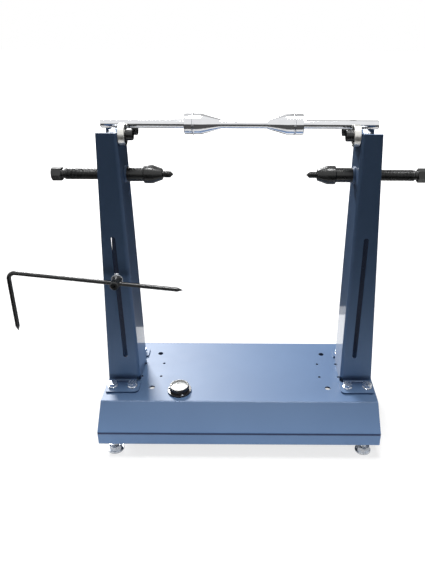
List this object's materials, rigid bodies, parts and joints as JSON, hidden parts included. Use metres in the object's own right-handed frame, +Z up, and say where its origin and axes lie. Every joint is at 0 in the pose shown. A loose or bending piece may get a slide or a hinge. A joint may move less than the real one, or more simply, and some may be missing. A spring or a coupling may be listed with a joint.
{
  "type": "wheel balancer",
  "caption": "Motorcycle wheel balancing stand: two slotted posts on a folded base, with a shaft and centring cones on ball bearings, side spindles and a pointer.",
  "frame": {"origin": "the middle of the base's flat top face, which is also the middle of its four free 9 mm holes", "axes": "+X along the shaft, from the post with the pointer to the other one; +Y from the front, where the level is, to the back; +Z up"},
  "size_m": [0.6213, 0.247, 0.5102],
  "materials": {
    "navy_paint": "glossy dark blue enamel",
    "black_oxide": "blackened, lightly oiled steel",
    "polished_steel": "ground and polished",
    "zinc": "bright zinc plate",
    "bearing_steel": "ground bearing steel",
    "bearing_seal": "matt black seal",
    "black_plastic": "satin black",
    "white_dial": "white disc",
    "clear_lens": "clear vial"
  },
  "bodies": {
    "stand": {"base_plate": "navy_paint", "left_post": "navy_paint", "right_post": "navy_paint", "post_bolts": "zinc", "post_washers": "zinc", "post_nuts": "zinc", "left_spindle_bush": "black_oxide", "right_spindle_bush": "black_oxide", "bearing_screws": "black_oxide", "bearing_spacers": "zinc", "bearing_lock_nuts": "zinc", "bearing_inner_rings": "bearing_steel", "bearing_balls": "bearing_steel", "level_housing": "black_plastic", "level_dial": "white_dial", "level_lens": "clear_lens", "level_screws": "zinc", "foot_weld_nuts": "zinc", "foot_lock_nuts": "zinc"},
    "shaft": {"shaft": "polished_steel"},
    "left_cone_set": {"left_cone": "polished_steel", "left_collar": "polished_steel", "left_grub_screw": "black_oxide"},
    "right_cone_set": {"right_cone": "polished_steel", "right_collar": "polished_steel", "right_grub_screw": "black_oxide"},
    "left_front_bearing": {"left_front_bearing_ring": "bearing_steel", "left_front_bearing_seals": "bearing_seal"},
    "left_back_bearing": {"left_back_bearing_ring": "bearing_steel", "left_back_bearing_seals": "bearing_seal"},
    "right_front_bearing": {"right_front_bearing_ring": "bearing_steel", "right_front_bearing_seals": "bearing_seal"},
    "right_back_bearing": {"right_back_bearing_ring": "bearing_steel", "right_back_bearing_seals": "bearing_seal"},
    "left_spindle": {"left_spindle": "black_oxide", "left_spindle_cone": "black_oxide"},
    "right_spindle": {"right_spindle": "black_oxide", "right_spindle_cone": "black_oxide"},
    "pointer_carrier": {"pointer_washers": "zinc", "pointer_nut": "zinc"},
    "pointer_clamp": {"pointer_clamp": "black_oxide", "pointer_clamp_screw": "black_oxide"},
    "pointer_rod": {"pointer_rod": "black_oxide"},
    "front_left_foot": {"front_left_foot_stud": "zinc", "front_left_foot_pad": "zinc"},
    "front_right_foot": {"front_right_foot_stud": "zinc", "front_right_foot_pad": "zinc"},
    "back_left_foot": {"back_left_foot_stud": "zinc", "back_left_foot_pad": "zinc"},
    "back_right_foot": {"back_right_foot_stud": "zinc", "back_right_foot_pad": "zinc"}
  },
  "joints": [
    {"name": "shaft_spin", "type": "hinge", "parent": "stand", "child": "shaft", "pos_m": [0, 0, 0.41449], "axis": [1, 0, 0], "continuous": true},
    {"name": "left_cone_slide", "type": "slide", "parent": "shaft", "child": "left_cone_set", "axis": [1, 0, 0], "range_m": [-0.068, 0.024]},
    {"name": "right_cone_slide", "type": "slide", "parent": "shaft", "child": "right_cone_set", "axis": [-1, 0, 0], "range_m": [-0.055, 0.036]},
    {"name": "left_front_bearing_spin", "type": "hinge", "parent": "stand", "child": "left_front_bearing", "pos_m": [-0.161, -0.0177, 0.403], "axis": [1, 0, 0], "continuous": true},
    {"name": "left_back_bearing_spin", "type": "hinge", "parent": "stand", "child": "left_back_bearing", "pos_m": [-0.161, 0.0177, 0.403], "axis": [1, 0, 0], "continuous": true},
    {"name": "right_front_bearing_spin", "type": "hinge", "parent": "stand", "child": "right_front_bearing", "pos_m": [0.161, -0.0177, 0.403], "axis": [1, 0, 0], "continuous": true},
    {"name": "right_back_bearing_spin", "type": "hinge", "parent": "stand", "child": "right_back_bearing", "pos_m": [0.161, 0.0177, 0.403], "axis": [1, 0, 0], "continuous": true},
    {"name": "left_spindle_feed", "type": "slide", "parent": "stand", "child": "left_spindle", "axis": [1, 0, 0], "range_m": [0, 0.08]},
    {"name": "right_spindle_feed", "type": "slide", "parent": "stand", "child": "right_spindle", "axis": [-1, 0, 0], "range_m": [0, 0.08]},
    {"name": "pointer_height", "type": "slide", "parent": "stand", "child": "pointer_carrier", "axis": [0, 0, 1], "range_m": [-0.136, 0.066]},
    {"name": "pointer_swivel", "type": "hinge", "parent": "pointer_carrier", "child": "pointer_clamp", "pos_m": [-0.186, -0.046, 0.188], "axis": [0, 1, 0], "range_deg": [-30, 90]},
    {"name": "pointer_reach", "type": "slide", "parent": "pointer_clamp", "child": "pointer_rod", "axis": [0.9942, 0, -0.108], "range_m": [-0.08, 0.12]},
    {"name": "front_left_foot_height", "type": "slide", "parent": "stand", "child": "front_left_foot", "axis": [0, 0, 1], "range_m": [-0.01, 0.006]},
    {"name": "front_right_foot_height", "type": "slide", "parent": "stand", "child": "front_right_foot", "axis": [0, 0, 1], "range_m": [-0.01, 0.006]},
    {"name": "back_left_foot_height", "type": "slide", "parent": "stand", "child": "back_left_foot", "axis": [0, 0, 1], "range_m": [-0.01, 0.006]},
    {"name": "back_right_foot_height", "type": "slide", "parent": "stand", "child": "back_right_foot", "axis": [0, 0, 1], "range_m": [-0.01, 0.006]}
  ],
  "couplings": [
    {"joint": "left_front_bearing_spin", "follows": "shaft_spin", "ratio": -0.4},
    {"joint": "left_back_bearing_spin", "follows": "shaft_spin", "ratio": -0.4},
    {"joint": "right_front_bearing_spin", "follows": "shaft_spin", "ratio": -0.4},
    {"joint": "right_back_bearing_spin", "follows": "shaft_spin", "ratio": -0.4}
  ]
}
